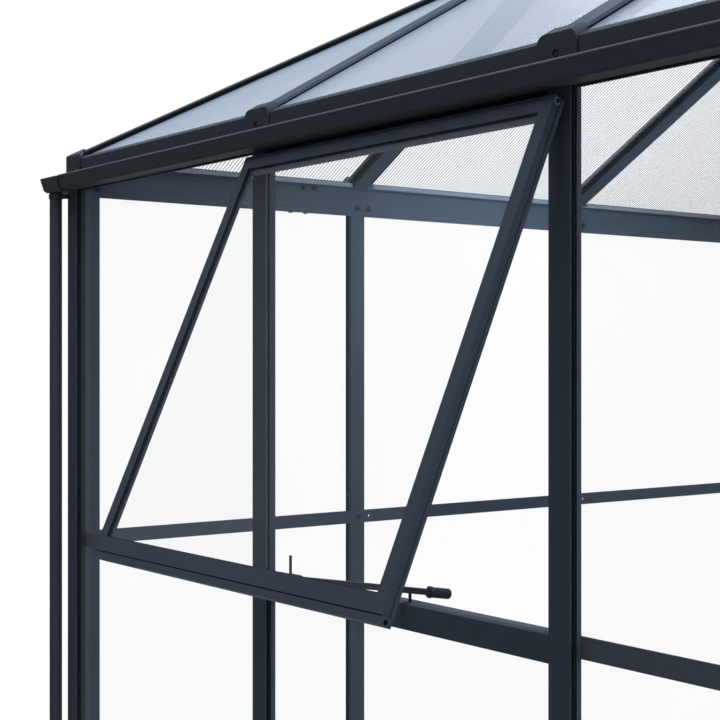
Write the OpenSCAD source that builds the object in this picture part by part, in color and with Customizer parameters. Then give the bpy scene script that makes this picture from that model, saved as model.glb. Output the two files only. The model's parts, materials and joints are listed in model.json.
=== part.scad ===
// Hip-roofed greenhouse: slim aluminium frame, clear wall panes, twin-wall roof sheets, top-hung windows.
// X runs along the long walls, Y across the building, Z up from the ground at the middle of the plan.

/* [Plan] */
// Distance between the centre lines of neighbouring studs
bay = 740; // [640:10:800]
// Bays along the front and back walls
bays_long = 5; // [5:1:7]
// Bays along the end walls
bays_short = 4; // [4:2:4]

/* [Heights] */
// Underside of the eave beams and gutters
eave_z = 1816; // [1700:1:2000]
// Height of the base rails
base_h = 60; // [40:1:100]
// Top of the wall braces and of the window sills
brace_top = 1085.5; // [900:0.5:1200]
// Slope of the roof in degrees
pitch = 30; // [25:1:35]

/* [Wall frame] */
// Width of studs and corner posts seen from outside
post_w = 42; // [36:1:60]
// Depth of the wall profiles
post_d = 21; // [18:1:30]
// Outer flange in front of the glass
flange_t = 4.7; // [3:0.1:6]
// Thickness of the wall panes
glass_t = 4; // [3:0.5:6]
// How far a pane reaches into a glazing slot
glass_bite = 6; // [4:0.5:8]
// Depth of the corner post's body
corner_d = 26; // [22:1:40]
// Reach of the corner post's inner leg along the end wall
corner_leg = 66; // [50:1:90]
// Height of the wall braces
brace_h = 31; // [20:1:40]
// Thickness of the wall braces
brace_t = 3; // [2:0.5:6]
// Diameter of the fixing hole in each brace
brace_hole = 5; // [3:0.5:8]
// Distance of that hole from the brace's end
brace_hole_in = 12; // [8:1:30]
// Width of the foot flange inside the base rails
foot_w = 46; // [35:1:70]
// Thickness of the foot flange
foot_t = 3; // [2:0.5:5]

/* [Eaves] */
// Height of the eave beam at its outer face
beam_h = 50; // [45:1:80]
// Reach of the sheets' seat into the room past the eave beam
seat_reach = 9; // [6:1:20]
// Height of that seat's edge
seat_h = 10; // [6:1:16]
// How far the lip under the end walls' eave beams laps up their inner face
lip_lap = 2; // [1:0.5:10]
// How far that lip stands into the room
beam_lip = 3; // [2:0.5:6]
// How far that lip hangs below the beam
lip_drop = 12; // [6:1:16]
// How far the gutter's front lip stands out from the wall
gutter_out = 41; // [35:1:60]
// Height of the gutter's front wall
gutter_h = 27.5; // [25:0.5:45]
// Lean of the gutter's front wall, from its lip down to its foot
gutter_lean = 6; // [2:1:10]
// Bevel between the gutter's front wall and its underside
gutter_bevel = 3; // [2:0.5:6]
// Wall of the gutter
gutter_t = 2; // [1.5:0.5:3]
// Reach of the gutter's top flange over the roof sheets
gutter_flange = 14; // [10:1:18]
// Wall of the gutter's corner pieces
corner_piece_t = 3; // [2:0.5:5]
// Reach of the corner pieces along each gutter
corner_piece_l = 36; // [25:1:60]
// Outside diameter of the downpipes
pipe_d = 26.5; // [20:0.5:35]
// Wall of the downpipes
pipe_t = 1.8; // [1.5:0.1:3]
// How far the pipe's centre stands out from both walls
pipe_out = 18.7; // [16:0.1:24]
// Gap between the pipe's mouth and the ground
pipe_foot = 60; // [30:1:150]

/* [Roof] */
// Thickness of the twin-wall sheets
sheet_t = 10; // [6:1:16]
// Width of the rafter bars under the sheets
bar_w = 44; // [36:1:60]
// Depth of the rafter bars under the sheets
bar_d = 9; // [8:1:20]
// Width of the web between neighbouring sheets
web_w = 14; // [10:1:20]
// Width of the cover strip over the sheets
cover_w = 58; // [52:1:70]
// Thickness of the cover strip
cover_t = 5; // [3:0.5:8]
// Width of the bevel along the cover strip
cover_bevel = 3; // [1:0.5:5]
// Width of the plastic caps on the rafter feet
cap_w = 76; // [66:1:90]
// Thickness of those caps over the cover strip
cap_t = 6; // [4:0.5:10]
// Radius of their upper corners
cap_r = 14; // [8:1:18]
// How far the caps stand out from the wall
cap_out = 7; // [6:0.5:14]
// How far the caps reach over the cover strips
cap_reach = 26; // [22:1:60]
// How far the caps reach down into the gutter
cap_drop = 40; // [30:1:50]
// Relief of the raised panel on the caps' fronts
cap_panel = 1.2; // [0.5:0.1:2]
// How far that panel's edges lean in at the top
cap_lean = 27; // [10:1:30]
// Height of those leaning edges
cap_shoulder = 34; // [20:1:40]
// Diameter of the screw recess in the caps
cap_hole = 12; // [8:1:16]
// Depth of the screw recess
cap_hole_deep = 3; // [1:0.5:4]
// Drop of the screw recess below the caps' top edge
cap_hole_drop = 28; // [22:1:34]
// Width of the caps on the hips
hip_cap_w = 104; // [90:1:130]
// Radius of the hip caps' outer corner in plan
hip_cap_r = 18; // [10:1:24]
// Diameter of the screw recesses in the hip caps
hip_hole = 7; // [4:0.5:10]
// Distance of those recesses from the corner
hip_hole_in = 57; // [40:1:62]

/* [Window] */
// Angle to which the windows stand open
open_angle = 23.7; // [10:0.1:35]
// How far the sash covers the studs on either side
sash_lap = 33; // [24:1:36]
// Depth of the sash's rim
sash_d = 20; // [18:1:24]
// Depth of stiles and top rail beside the pane, behind which they are rebated
sash_inner_d = 12.6; // [10:0.1:16]
// Width of the rim left by that rebate
sash_rim = 8; // [6:0.5:12]
// Lip of the sash profiles in front of the pane
sash_lip = 2; // [1.5:0.5:4]
// Face of the sash stiles
stile_w = 22; // [20:1:40]
// Width of the channel along the stiles' outer sides
stile_groove_w = 11; // [6:0.5:12]
// Depth of that channel
stile_groove_d = 2; // [1:0.5:4]
// Lip between that channel and the stiles' faces
stile_lip = 3; // [2:0.5:5]
// Face of the sash top rail
top_rail_w = 25; // [22:1:50]
// Face of the sash bottom rail above its drip lip
bottom_rail_w = 24.5; // [20:0.5:40]
// Height of the drip lip under the bottom rail
drip_h = 12.5; // [11:0.1:20]
// Shadow grooves along the top rail and between the bottom rail and its drip lip
drip_groove = 2; // [1:0.5:3]
// Diameter of the bores in the drip lip's ends
lip_bore = 7; // [4:0.5:8]
// How far the closed sash covers the sill
sash_cover = 19.5; // [10:0.5:30]
// Drop of the sash's top edge below the eave beam's underside
sash_drop = 19.5; // [12:0.5:24]
// Diameter of the pivot pins at the top of the sash
pivot_d = 7; // [5:0.5:10]
// Height of the window sill
sill_h = 40; // [30:1:60]
// How far the sill stands into the room past the studs
sill_ledge = 9; // [4:1:20]
// Fall of the sill's top towards the outside
sill_fall = 2; // [1:0.5:5]
// Width of the stay bar, a channel open downwards
stay_w = 12; // [11:0.5:20]
// Height of the stay bar
stay_h = 9; // [6:0.5:14]
// Wall of the stay bar
stay_t = 1.5; // [1:0.5:2]
// Length of the stay bar past its peg, up to the grip
stay_tail = 34; // [25:1:80]
// Shift of the stay bar's peg along the sill from the window's middle
stay_side = 38; // [0:1:100]
// Height of the stay bar's middle over the sill at its peg
stay_rise = 17.8; // [12:0.1:30]
// Diameter of the grip
grip_d = 15; // [12:1:20]
// Length of the grip
grip_l = 37; // [25:1:60]
// Diameter of the pegs on the sill
peg_d = 5; // [4:0.5:6]
// Height of the spare peg above the sill
peg_h = 36; // [28:1:45]
// Distance of the spare peg from the stud's centre line
peg_in = 83; // [60:1:150]
// Length of the spare peg's foot plate
peg_plate_l = 34; // [25:1:50]
// Thickness of that foot plate
peg_plate_t = 3; // [2:0.5:5]

/* [Door] */
// Face of the door stiles and rails
door_frame_w = 48; // [40:1:70]
// Depth of the door profiles
door_d = 21; // [18:1:30]
// Running gap round the door leaves
door_gap = 4; // [3:0.5:6]
// Height of the door's threshold
threshold_h = 18; // [12:1:30]
// Height of the threshold's edges
threshold_nose = 4; // [2:0.5:8]
// Height of the middle rail's centre line
door_rail_z = 1000; // [800:10:1200]
// Height of the pull handles
handle_h = 220; // [150:10:400]
// Diameter of the pull handles
handle_d = 14; // [12:1:24]
// Clear room behind the pull handles
handle_out = 30; // [25:1:60]
// Diameter of the handles' two feet
handle_foot_d = 10; // [8:1:14]
// Diameter of the hinge barrels
hinge_d = 12; // [10:1:16]
// Height of the hinge barrels
hinge_h = 70; // [50:1:110]
// Reach of the hinge plates to either side
hinge_plate = 26; // [18:1:40]
// Thickness of the hinge plates
hinge_t = 2.5; // [2:0.5:4]

/* [Hidden] */
$fn = 48;

frame_colour = "#39434d";
dark_colour = "#24282c";
glass_colour = "#dfe9ee80";
sheet_colour = "#c3d0e0";

// Walls are numbered anticlockwise from the front
front = 0;
right = 1;
back = 2;
left = 3;
walls = [front, right, back, left];
window_walls = [front, back];
window_bay = 2;
door_wall = right;

// Clearance between pieces that only rest against each other
fit = 0.3;
plan_l = bays_long * bay + post_w;
plan_w = bays_short * bay + post_w;
slot_in = flange_t;
slot_out = flange_t + glass_t + fit;
slot_deep = glass_bite + fit;
ridge_l = plan_l - plan_w;
sheet_z = eave_z + beam_h;
roof_top = sheet_z + plan_w / 2 * tan(pitch) + 200;
hip_pitch = atan(tan(pitch) / sqrt(2));
// Angle at which both roof planes fall away from the hip, seen along it
hip_fold = asin(tan(pitch) * cos(pitch) / sqrt(2));
hip_l = plan_w / 2 * sqrt(2) / cos(hip_pitch) + 100;
slope_l = plan_w / 2 / cos(pitch) + 100;
cover_lift = sheet_t + gutter_t + fit;
gutter_z = eave_z;
seat_y = post_d + seat_reach;

function bays(wall) = wall % 2 == 0 ? bays_long : bays_short;
function span(wall) = wall % 2 == 0 ? plan_l : plan_w;
function depth(wall) = wall % 2 == 0 ? plan_w : plan_l;
function stud_x(wall, i) = (i - bays(wall) / 2) * bay;
function has_stud(wall, i) = wall != door_wall || i != bays(wall) / 2;
function is_window(wall, i) = len(search(wall, window_walls)) > 0 && i == window_bay;
function is_door(wall, i) = wall == door_wall && abs(i - 0.5 - bays(wall) / 2) < 1;
// Height of a roof plane, lifted by w square to it, at y inside the wall's outer face
function roof_z(y, w) = sheet_z + y * tan(pitch) + w / cos(pitch);

// Puts children on a wall: x along it, y into the room from its outer face
module on_wall(wall) {
    rotate([0, 0, 90 * wall])
        translate([0, -depth(wall) / 2, 0])
            children();
}

// Mirrors children about the x axis' origin where side is negative
module on_side(side) {
    if (side < 0)
        mirror([1, 0, 0])
            children();
    else
        children();
}

// Puts children on one corner of the plan: x and y run from its outer corner along both walls
module at_corner(x, y) {
    on_side(-x)
        mirror([0, y > 0 ? 1 : 0, 0])
            translate([-plan_l / 2, -plan_w / 2, 0])
                children();
}

// Puts children on a roof slope: y up the slope from the eave, z square to the sheets
module on_slope(wall) {
    on_wall(wall)
        translate([0, 0, sheet_z])
            rotate([pitch, 0, 0])
                children();
}

// Runs a section of y and z along x
module along_x(x_from, x_to) {
    translate([x_from, 0, 0])
        rotate([90, 0, 90])
            linear_extrude(x_to - x_from)
                children();
}

// Runs a section of x and z along y
module along_y(y_from, y_to) {
    translate([0, y_to, 0])
        rotate([90, 0, 0])
            linear_extrude(y_to - y_from)
                children();
}

// Column over one slope's share of the plan, mitred to its neighbours at 45 degrees
module slope_column(wall, y_from, hip_gap, ridge_gap) {
    reach = span(wall) / 2 - hip_gap * sqrt(2);
    top = min(depth(wall) / 2 - ridge_gap, reach);
    corners = [[-reach + y_from, y_from], [reach - y_from, y_from]];
    crown = top < reach ? [[reach - top, top], [top - reach, top]] : [[0, top]];
    on_wall(wall)
        linear_extrude(roof_top)
            polygon(concat(corners, crown));
}

// Section of a stud, centred on its line, open to a glazing slot on either side
module stud_section() {
    difference() {
        translate([-post_w / 2, 0])
            square([post_w, post_d]);
        for (side = [-1, 1])
            translate([side * post_w / 2, (slot_in + slot_out) / 2])
                square([2 * slot_deep, slot_out - slot_in], center = true);
    }
}

// Section of a corner post with its outer corner at the origin
module corner_section() {
    difference() {
        polygon([[0, 0], [post_w, 0], [post_w, corner_d], [corner_d, post_w], [0, post_w]]);
        translate([post_w - slot_deep, slot_in])
            square([2 * slot_deep, slot_out - slot_in]);
        translate([slot_in, post_w - slot_deep])
            square([slot_out - slot_in, 2 * slot_deep]);
    }
}

module corner_posts() color(frame_colour) {
    for (x = [-1, 1], y = [-1, 1])
        at_corner(x, y) {
            linear_extrude(eave_z)
                corner_section();
            translate([slot_out, post_w, base_h])
                cube([post_d - slot_out, corner_leg - post_w, eave_z - base_h]);
        }
}

// Section of a base rail: box with a glazing slot on top and a foot flange inside
module base_section() {
    difference() {
        polygon([[0, 0], [foot_w, 0], [foot_w, foot_t], [post_d, foot_t], [post_d, base_h], [0, base_h]]);
        translate([slot_in, base_h - slot_deep])
            square([slot_out - slot_in, 2 * slot_deep]);
    }
}

module base_rails() color(frame_colour) {
    for (wall = walls) {
        end = span(wall) / 2 - post_w;
        jamb = bay - post_w / 2;
        runs = wall == door_wall ? [[-end, -jamb], [jamb, end]] : [[-end, end]];
        for (run = runs)
            intersection() {
                on_wall(wall)
                    along_x(run[0], run[1])
                        base_section();
                slope_column(wall, 0, fit, 0);
            }
    }
}

module studs(wall) color(frame_colour) {
    on_wall(wall)
        for (i = [1 : bays(wall) - 1])
            if (has_stud(wall, i))
                translate([stud_x(wall, i), 0, base_h])
                    linear_extrude(eave_z - base_h)
                        stud_section();
}

module wall_braces() color(frame_colour) {
    for (wall = walls)
        on_wall(wall)
            for (i = [1 : bays(wall)])
                if (!is_window(wall, i) && !is_door(wall, i))
                    wall_brace(wall, i);
}

// Flat bar inside one bay: covers the stud at its start, stops short of the next, drilled near that end
module wall_brace(wall, i) {
    corner = span(wall) / 2 - post_w - fit;
    x_from = i == 1 ? -corner : stud_x(wall, i - 1) - post_w / 2 + fit;
    x_to = i == bays(wall) ? corner : stud_x(wall, i) - post_w / 2;
    difference() {
        translate([x_from, post_d, brace_top - brace_h])
            cube([x_to - x_from, brace_t, brace_h]);
        translate([x_to - brace_hole_in, post_d + brace_t / 2, brace_top - brace_h / 2])
            rotate([90, 0, 0])
                cylinder(d = brace_hole, h = 2 * brace_t, center = true);
    }
}

module panes(wall) color(glass_colour) {
    half = (bay - post_w) / 2 + glass_bite;
    on_wall(wall)
        for (i = [1 : bays(wall)])
            if (!is_door(wall, i)) {
                top = is_window(wall, i) ? brace_top - sill_h : eave_z;
                translate([stud_x(wall, i - 0.5) - half, slot_in + fit / 2, base_h - glass_bite])
                    cube([2 * half, glass_t, top - base_h + 2 * glass_bite]);
            }
}

// Section of an eave beam: sloped seat for the sheets, slot for the panes, on end walls a lip in the room
module beam_section(lip) {
    lip_low = eave_z - lip_drop;
    lip_y = post_d + beam_lip;
    lip_points = [
        [post_d + fit, eave_z], [post_d + fit, lip_low], [lip_y, lip_low], [lip_y, eave_z + lip_lap],
        [post_d, eave_z + lip_lap]
    ];
    seat_points = [
        [post_d, roof_z(post_d, 0) - seat_h], [seat_y, roof_z(seat_y, 0) - seat_h], [seat_y, roof_z(seat_y, 0)]
    ];
    difference() {
        polygon(concat(
            [[0, eave_z]], lip ? lip_points : [[post_d, eave_z]], seat_points, [[0, roof_z(0, 0)]]
        ));
        translate([slot_in, eave_z - slot_deep])
            square([slot_out - slot_in, 2 * slot_deep]);
    }
}

module eave_beam(wall) color(frame_colour) {
    intersection() {
        on_wall(wall)
            along_x(-span(wall) / 2, span(wall) / 2)
                beam_section(wall % 2 == 1);
        slope_column(wall, 0, 0, 0);
    }
}

// Outline of the gutter's outer skin, moved out by skin all round the trough
function gutter_outer(skin) = [
    [-gutter_out - skin, gutter_z + gutter_h],
    [-gutter_out + gutter_lean - skin, gutter_z + gutter_bevel - skin / 2],
    [-gutter_out + gutter_lean + gutter_bevel - skin / 2, gutter_z - skin],
    [0, gutter_z - skin]
];

// Section of a gutter: trough, back wall against the beam, flange over the ends of the sheets
module gutter_section() {
    difference() {
        polygon(concat(gutter_outer(0), [
            [0, roof_z(0, sheet_t + fit)],
            [gutter_flange, roof_z(gutter_flange, sheet_t + fit)],
            [gutter_flange, roof_z(gutter_flange, sheet_t + fit + gutter_t)],
            [-gutter_t, roof_z(-gutter_t, sheet_t + fit + gutter_t)],
            [-gutter_t, gutter_z + gutter_h]
        ]));
        polygon([
            [-gutter_t, gutter_z + gutter_t],
            [-gutter_t, gutter_z + 2 * gutter_h],
            [-gutter_out + gutter_t, gutter_z + 2 * gutter_h],
            [-gutter_out + gutter_t, gutter_z + gutter_h],
            [-gutter_out + gutter_lean + gutter_t, gutter_z + gutter_bevel + gutter_t / 2],
            [-gutter_out + gutter_lean + gutter_bevel + gutter_t / 2, gutter_z + gutter_t]
        ]);
    }
}

module gutter(wall) color(dark_colour) {
    reach = span(wall) / 2 + gutter_out;
    difference() {
        intersection() {
            on_wall(wall)
                along_x(-reach, reach)
                    gutter_section();
            slope_column(wall, -gutter_out - 1, 0, 0);
        }
        pipe_outlets();
    }
}

// Drain holes through gutters and corner pieces over the downpipes
module pipe_outlets() {
    for (x = [-1, 1], y = [-1, 1])
        translate([x * (plan_l / 2 + pipe_out), y * (plan_w / 2 + pipe_out), gutter_z - 2 * corner_piece_t])
            cylinder(d = pipe_d - 2 * pipe_t, h = 2 * corner_piece_t + gutter_bevel);
}

// Shell that wraps the front and underside of a gutter
module corner_piece_section() {
    difference() {
        polygon(concat(gutter_outer(corner_piece_t + fit), [[0, gutter_z - fit]], [[-1, gutter_z + gutter_h]]));
        polygon(concat(gutter_outer(fit), [[1, gutter_z + 2 * gutter_h]],
            [[-gutter_out - fit, gutter_z + 2 * gutter_h]]));
    }
}

module gutter_corners() color(dark_colour) {
    reach = gutter_out + corner_piece_t + 1;
    difference() {
        for (wall = walls, side = [-1, 1])
            intersection() {
                on_wall(wall)
                    along_x(side * span(wall) / 2 - (side > 0 ? corner_piece_l : reach),
                            side * span(wall) / 2 + (side > 0 ? reach : corner_piece_l))
                        corner_piece_section();
                slope_column(wall, -reach, 0, 0);
            }
        pipe_outlets();
    }
}

module downpipes() color(frame_colour) {
    top = gutter_z - corner_piece_t - fit;
    for (x = [-1, 1], y = [-1, 1])
        translate([x * (plan_l / 2 + pipe_out), y * (plan_w / 2 + pipe_out), pipe_foot])
            difference() {
                cylinder(d = pipe_d, h = top - pipe_foot);
                translate([0, 0, -1])
                    cylinder(d = pipe_d - 2 * pipe_t, h = top - pipe_foot + 2);
            }
}

// Height over a section's middle line of two planes that fall away by fold, lifted by w, at x beside it
function fold_z(fold, w, x) = w / cos(fold) - abs(x) * tan(fold);

// Bar under the sheets and web between them, folded to the angle at which two slopes meet
module bar_section(fold) {
    half = bar_w / 2;
    web = web_w / 2;
    seat = cover_lift - fit;
    polygon([
        [-half, fold_z(fold, -fit, half) - bar_d], [half, fold_z(fold, -fit, half) - bar_d],
        [half, fold_z(fold, -fit, half)], [web, fold_z(fold, -fit, web)],
        [web, fold_z(fold, seat, web)], [0, fold_z(fold, seat, 0)], [-web, fold_z(fold, seat, web)],
        [-web, fold_z(fold, -fit, web)], [-half, fold_z(fold, -fit, half)]
    ]);
}

// Cover strip that clamps the sheets, bevelled along both edges
module cover_section(fold) {
    half = cover_w / 2;
    flat = half - cover_bevel;
    high = cover_lift + cover_t;
    polygon([
        [0, fold_z(fold, cover_lift, 0)], [half, fold_z(fold, cover_lift, half)],
        [flat, fold_z(fold, high, flat)], [0, fold_z(fold, high, 0)],
        [-flat, fold_z(fold, high, flat)], [-half, fold_z(fold, cover_lift, half)]
    ]);
}

// Rafters of one slope: bars stop at the sides of hip and ridge bars, covers at the edges of their covers
module rafters(wall) color(frame_colour) {
    for (i = [1 : bays(wall) - 1]) {
        intersection() {
            on_slope(wall)
                translate([stud_x(wall, i), 0, 0])
                    along_y(0, slope_l)
                        bar_section(0);
            slope_column(wall, seat_y, bar_w / 2, bar_w / 2);
        }
        intersection() {
            on_slope(wall)
                translate([stud_x(wall, i), 0, 0])
                    along_y(0, slope_l)
                        cover_section(0);
            slope_column(wall, gutter_flange + fit, cover_w / 2 + fit, cover_w / 2 + fit);
        }
    }
}

// Puts children along the hip over one corner of the plan: x up the hip, z square to it
module on_hip(x, y) {
    at_corner(x, y)
        translate([0, 0, sheet_z])
            rotate([0, 0, 45])
                rotate([0, -hip_pitch, 0])
                    children();
}

// Column over one corner's quarter of the plan, starting inside both walls, short of the next hip
module quarter_column(x, y, inset) {
    at_corner(x, y)
        translate([inset, inset, 0])
            cube([plan_w / 2 - inset, plan_w / 2 - inset - fit / 2, roof_top]);
}

module hip_rafters() color(frame_colour) {
    for (x = [-1, 1], y = [-1, 1]) {
        intersection() {
            on_hip(x, y)
                along_x(0, hip_l)
                    bar_section(hip_fold);
            quarter_column(x, y, seat_y);
        }
        intersection() {
            on_hip(x, y)
                along_x(0, hip_l)
                    cover_section(hip_fold);
            quarter_column(x, y, gutter_flange + fit);
        }
    }
}

module ridge_beam() color(frame_colour) {
    translate([0, 0, roof_z(plan_w / 2, 0)])
        along_x(-ridge_l / 2, ridge_l / 2) {
            bar_section(pitch);
            cover_section(pitch);
        }
}

// Sheets of one slope, a bay each, let into the slots of rafters, hips and ridge
module roof_sheets(wall) color(sheet_colour) {
    edge = web_w / 2 + fit;
    for (i = [1 : bays(wall)])
        intersection() {
            on_slope(wall)
                translate([stud_x(wall, i - 1) + (i == 1 ? -bay : edge), -sheet_t, 0])
                    cube([bay - edge + (i == 1 ? bay : i == bays(wall) ? bay : -edge), slope_l, sheet_t]);
            slope_column(wall, 0, edge, edge);
        }
}

// Heights of the caps: foot in the gutter, room for the gutter's flange and for the cover strip, top
cap_low = roof_z(0, sheet_t) - cap_drop;
over_flange = sheet_t + 2 * fit + gutter_t;
over_cover = cover_lift + cover_t + fit;
cap_top = over_cover - fit + cap_t;
cap_front = -gutter_t - fit;
cap_edge_z = roof_z(-cap_out, cap_top);
cap_hole_z = cap_edge_z - cap_hole_drop;

// Rounded block over the slope's covers, long enough to be cut by the cap's side outline
module cap_block() {
    along_y(-bay / 2, cap_reach / cos(pitch)) {
        translate([-cap_w / 2, -bay / 2])
            square([cap_w, bay / 2 + cap_top - cap_r]);
        translate([-cap_w / 2 + cap_r, 0])
            square([cap_w - 2 * cap_r, cap_top]);
        for (side = [-1, 1])
            translate([side * (cap_w / 2 - cap_r), cap_top - cap_r])
                circle(r = cap_r);
    }
}

// Side outline of a cap: front plate before the gutter's back wall, hood over flange and cover strip
module cap_side() {
    step = gutter_flange - fit;
    polygon([
        [-cap_out, cap_low], [cap_front, cap_low],
        [cap_front, roof_z(cap_front, over_flange)], [step, roof_z(step, over_flange)],
        [step, roof_z(step, over_cover)], [bay, roof_z(bay, over_cover)],
        [bay, roof_top], [-cap_out, roof_top]
    ]);
}

// Cuts that leave the raised panel on a cap's front: both its edges lean in towards the top
module cap_cuts() {
    edge = cap_w / 2;
    shoulder_z = cap_edge_z - cap_shoulder;
    for (side = [-1, 1])
        on_side(side)
            along_y(-cap_out - 1, -cap_out + cap_panel)
                polygon([
                    [edge, shoulder_z], [edge - cap_lean, cap_edge_z], [edge - cap_lean, roof_top],
                    [cap_w, roof_top], [cap_w, shoulder_z]
                ]);
    translate([0, -cap_out + cap_hole_deep, cap_hole_z])
        rotate([90, 0, 0])
            cylinder(d = cap_hole, h = 2 * cap_hole_deep);
}

module rafter_end_caps() color(dark_colour) {
    for (wall = walls)
        for (i = [1 : bays(wall) - 1])
            difference() {
                intersection() {
                    on_slope(wall)
                        translate([stud_x(wall, i), 0, 0])
                            cap_block();
                    on_wall(wall)
                        along_x(stud_x(wall, i) - cap_w, stud_x(wall, i) + cap_w)
                            cap_side();
                }
                on_wall(wall)
                    translate([stud_x(wall, i), 0, 0])
                        cap_cuts();
            }
}

// Roof-shaped section under both slopes at a lift of w square to them
module folded_section(w, half) {
    polygon([
        [-half, -bay / 2], [half, -bay / 2], [half, fold_z(hip_fold, w, half)],
        [0, fold_z(hip_fold, w, 0)], [-half, fold_z(hip_fold, w, half)]
    ]);
}

// Block over one corner, from inset inside both walls and from z up, its outer edge rounded by r
module corner_block(x, y, inset, z, r) {
    at_corner(x, y)
        translate([inset, inset, z])
            linear_extrude(roof_top - z) {
                translate([r, 0])
                    square([bay - r, bay]);
                translate([0, r])
                    square([bay, bay - r]);
                translate([r, r])
                    circle(r = r);
            }
}

module hip_end_caps() color(dark_colour) {
    for (x = [-1, 1], y = [-1, 1])
        difference() {
            intersection() {
                on_hip(x, y)
                    along_x(-bay / 2, (cap_reach + bar_w / 2) / cos(hip_pitch))
                        folded_section(cap_top, hip_cap_w / 2);
                corner_block(x, y, -cap_out, cap_low, hip_cap_r);
            }
            intersection() {
                on_hip(x, y)
                    along_x(-bay / 2, bay)
                        folded_section(over_flange, hip_cap_w);
                corner_block(x, y, cap_front, 0, fit);
            }
            intersection() {
                on_hip(x, y)
                    along_x(-bay / 2, bay)
                        folded_section(over_cover, hip_cap_w);
                corner_block(x, y, gutter_flange - fit, 0, fit);
            }
            at_corner(x, y) {
                translate([hip_hole_in, -cap_out + cap_hole_deep, cap_hole_z])
                    rotate([90, 0, 0])
                        cylinder(d = hip_hole, h = 2 * cap_hole_deep);
                translate([-cap_out - cap_hole_deep, hip_hole_in, cap_hole_z])
                    rotate([0, 90, 0])
                        cylinder(d = hip_hole, h = 2 * cap_hole_deep);
            }
        }
}

// Puts children in every window bay: x from the bay's middle, y into the room
module in_window_bays() {
    for (wall = window_walls)
        on_wall(wall)
            translate([stud_x(wall, window_bay - 0.5), 0, 0])
                children();
}

// Section of a window sill: slot for the pane below, ledge into the room, top falling outwards
module sill_section() {
    low = brace_top - sill_h;
    difference() {
        polygon([
            [0, low], [post_d, low], [post_d, brace_top - sill_h / 2],
            [post_d + sill_ledge, brace_top - sill_h / 2], [post_d + sill_ledge, brace_top],
            [post_d / 2, brace_top], [0, brace_top - sill_fall]
        ]);
        translate([slot_in, low - slot_deep])
            square([slot_out - slot_in, 2 * slot_deep]);
    }
}

module window_sills() color(frame_colour) {
    half = (bay - post_w) / 2;
    in_window_bays()
        along_x(-half, half)
            sill_section();
}

// Sash frame of reference: z hangs down from the pivot along the sash, y towards the room
pivot_y = -fit;
pivot_z = eave_z - sash_drop;
sash_w = bay - post_w + 2 * sash_lap;
sash_h = pivot_z - brace_top + sash_cover;
sash_slot = glass_t + fit;
sash_glass_y = -sash_d + sash_lip + sash_slot / 2;
sash_back = -sash_d + sash_inner_d;

module in_sashes() {
    in_window_bays()
        translate([0, pivot_y, pivot_z])
            rotate([-open_angle, 0, 0])
                children();
}

// Groove for the sash pane behind the profiles' front lip, from z up
module sash_groove(z) {
    translate([sash_glass_y - sash_slot / 2, z])
        square([sash_slot, slot_deep]);
}

// Top rail between the stiles: rim on top, rebated behind the pane, a shadow groove along its face
module window_top_rails() color(frame_colour) {
    half = sash_w / 2 - stile_w;
    in_sashes()
        along_x(-half, half)
            difference() {
                polygon([
                    [-sash_d, 0], [0, 0], [0, -sash_rim], [sash_back, -sash_rim],
                    [sash_back, -top_rail_w], [-sash_d, -top_rail_w]
                ]);
                translate([-sash_d, -2.5 * drip_groove])
                    square([drip_groove, drip_groove]);
                sash_groove(-top_rail_w);
            }
}

// Bottom rail between the stiles, its drip lip running on under their feet and bored at both ends
module window_bottom_rails() color(frame_colour) {
    half = sash_w / 2;
    foot = -sash_h + drip_h;
    in_sashes()
        difference() {
            along_x(-half, half)
                difference() {
                    translate([-sash_d, -sash_h])
                        square([sash_d, drip_h + bottom_rail_w]);
                    translate([-sash_d, foot - drip_groove])
                        square([drip_groove, drip_groove]);
                    sash_groove(foot + bottom_rail_w - slot_deep);
                }
            for (side = [-1, 1])
                on_side(side) {
                    translate([half - stile_w, -2 * sash_d, foot])
                        cube([2 * stile_w, 3 * sash_d, 2 * bottom_rail_w]);
                    translate([half - stile_w, -sash_d / 2, (foot - drip_groove - sash_h) / 2])
                        rotate([0, 90, 0])
                            cylinder(d = lip_bore, h = 2 * stile_w);
                }
        }
}

// Stiles over the sash's full height: slot for the pane, rebate behind it, channel outside, pivot pin on top
module window_stiles() color(frame_colour) {
    half = sash_w / 2;
    foot = -sash_h + drip_h;
    in_sashes()
        for (side = [-1, 1])
            on_side(side) {
                translate([0, 0, foot])
                    linear_extrude(-foot)
                        difference() {
                            polygon([
                                [half - stile_w, -sash_d], [half, -sash_d], [half, 0], [half - sash_rim, 0],
                                [half - sash_rim, sash_back], [half - stile_w, sash_back]
                            ]);
                            translate([half - stile_w - slot_deep, sash_glass_y - sash_slot / 2])
                                square([2 * slot_deep, sash_slot]);
                            translate([half - stile_groove_d, -sash_d + stile_lip])
                                square([2 * stile_groove_d, stile_groove_w]);
                        }
                translate([half - sash_rim, -sash_d + pivot_d, -pivot_d])
                    rotate([0, 90, 0])
                        cylinder(d = pivot_d, h = sash_rim + pivot_d / 4);
            }
}

module window_panes() color(glass_colour) {
    half = sash_w / 2 - stile_w + glass_bite;
    low = -sash_h + drip_h + bottom_rail_w - glass_bite;
    in_sashes()
        translate([-half, sash_glass_y - glass_t / 2, low])
            cube([2 * half, glass_t, -top_rail_w + glass_bite - low]);
}

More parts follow.
